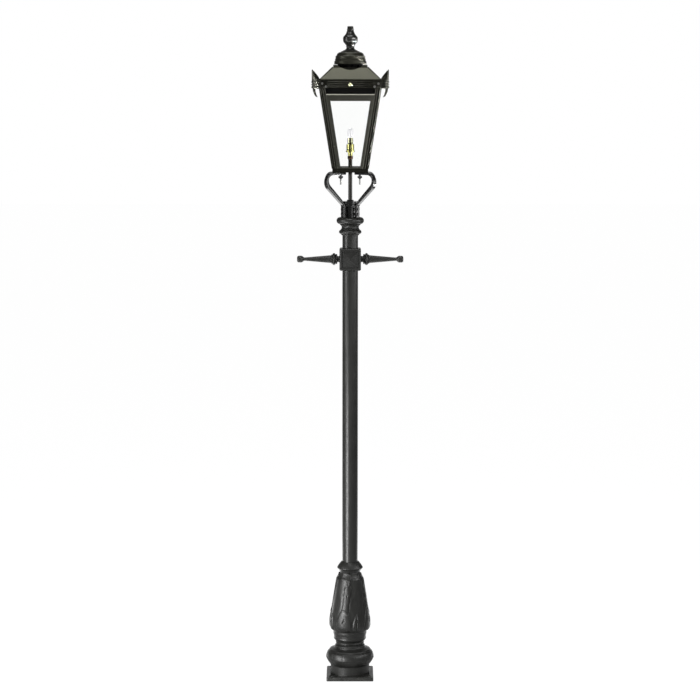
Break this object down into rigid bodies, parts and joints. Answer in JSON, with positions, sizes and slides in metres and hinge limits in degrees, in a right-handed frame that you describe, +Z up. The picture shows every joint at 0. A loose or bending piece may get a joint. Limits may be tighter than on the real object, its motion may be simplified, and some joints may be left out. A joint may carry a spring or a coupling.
{
  "type": "lamp post",
  "caption": "Street lamp post: cast base, round column, ladder rest and an open curved bracket that carries a square tapered glass lantern with a hinged roof.",
  "frame": {"origin": "centre of the base plate's underside, on the column's axis", "axes": "+Z up along the column, front of the lantern (roof screw) towards -Y, ladder arms along X"},
  "size_m": [0.606, 0.433, 3.738],
  "materials": {
    "cast_paint": "satin black paint on cast iron",
    "column_paint": "satin black",
    "frog_paint": "gloss black",
    "lantern_paint": "semi-gloss black",
    "roof_paint": "gloss black",
    "pane_glass": "clear",
    "dark_steel": "blackened",
    "bolt_steel": "plain",
    "lamp_tube_paint": "bronze black",
    "copper": "copper",
    "brass": "polished",
    "porcelain": "glazed white",
    "lamp_metal": "bright",
    "lamp_collar": "white",
    "lamp_glass": "clear",
    "filament": "pale yellow"
  },
  "bodies": {
    "post": {"base_casting": "cast_paint", "column_capital": "cast_paint", "column_tube": "column_paint", "copper_ring": "copper", "corner_post_back_left": "lantern_paint", "corner_post_back_right": "lantern_paint", "corner_post_front_left": "lantern_paint", "corner_post_front_right": "lantern_paint", "frog_arm_back_left": "frog_paint", "frog_arm_back_right": "frog_paint", "frog_arm_bolts": "frog_paint", "frog_arm_front_left": "frog_paint", "frog_arm_front_right": "frog_paint", "frog_ring": "frog_paint", "frog_stem": "frog_paint", "glazing_clips": "dark_steel", "glazing_frame_back": "lantern_paint", "glazing_frame_front": "lantern_paint", "glazing_frame_left": "lantern_paint", "glazing_frame_right": "lantern_paint", "grub_screws": "dark_steel", "hinge_body_leaf": "lantern_paint", "hinge_pin": "dark_steel", "ladder_arm_left": "cast_paint", "ladder_arm_right": "cast_paint", "ladder_boss": "cast_paint", "lamp_tube": "lamp_tube_paint", "lampholder_body": "brass", "lampholder_contact": "brass", "lampholder_core": "porcelain", "lampholder_ring": "brass", "lantern_studs": "bolt_steel", "lantern_tray": "lantern_paint", "pane_back": "pane_glass", "pane_front": "pane_glass", "pane_left": "pane_glass", "pane_right": "pane_glass", "top_frame": "lantern_paint", "tube_lock_nuts": "dark_steel"},
    "roof": {"cornice": "lantern_paint", "ear_bolts": "bolt_steel", "ear_front_right": "lantern_paint", "ear_back_right": "lantern_paint", "ear_back_left": "lantern_paint", "ear_front_left": "lantern_paint", "roof_shell": "roof_paint", "vent_collar": "roof_paint", "chimney_dome": "roof_paint", "finial": "roof_paint", "finial_nut": "dark_steel", "hinge_roof_leaf": "lantern_paint"},
    "roof_screw": {"roof_screw": "brass"},
    "lamp": {"lamp_cap": "lamp_metal", "lamp_collar": "lamp_collar", "lamp_glass": "lamp_glass", "lamp_filament": "filament"},
    "wing_nut_front_right": {"wing_nut_front_right": "bolt_steel"},
    "wing_nut_back_right": {"wing_nut_back_right": "bolt_steel"},
    "wing_nut_back_left": {"wing_nut_back_left": "bolt_steel"},
    "wing_nut_front_left": {"wing_nut_front_left": "bolt_steel"}
  },
  "joints": [
    {"name": "roof_hinge", "type": "hinge", "parent": "post", "child": "roof", "pos_m": [0, 0.1788, 3.389], "axis": [-1, 0, 0], "range_deg": [0, 100]},
    {"name": "roof_screw_turn", "type": "hinge", "parent": "roof", "child": "roof_screw", "pos_m": [0, -0.18, 3.41], "axis": [0, -1, 0], "continuous": true},
    {"name": "lamp_turn", "type": "hinge", "parent": "post", "child": "lamp", "pos_m": [0, 0, 3.06], "axis": [0, 0, 1], "continuous": true},
    {"name": "wing_nut_front_right_turn", "type": "hinge", "parent": "post", "child": "wing_nut_front_right", "pos_m": [0.054, -0.054, 2.9], "axis": [0, 0, 1], "continuous": true},
    {"name": "wing_nut_back_right_turn", "type": "hinge", "parent": "post", "child": "wing_nut_back_right", "pos_m": [0.054, 0.054, 2.9], "axis": [0, 0, 1], "continuous": true},
    {"name": "wing_nut_back_left_turn", "type": "hinge", "parent": "post", "child": "wing_nut_back_left", "pos_m": [-0.054, 0.054, 2.9], "axis": [0, 0, 1], "continuous": true},
    {"name": "wing_nut_front_left_turn", "type": "hinge", "parent": "post", "child": "wing_nut_front_left", "pos_m": [-0.054, -0.054, 2.9], "axis": [0, 0, 1], "continuous": true}
  ]
}
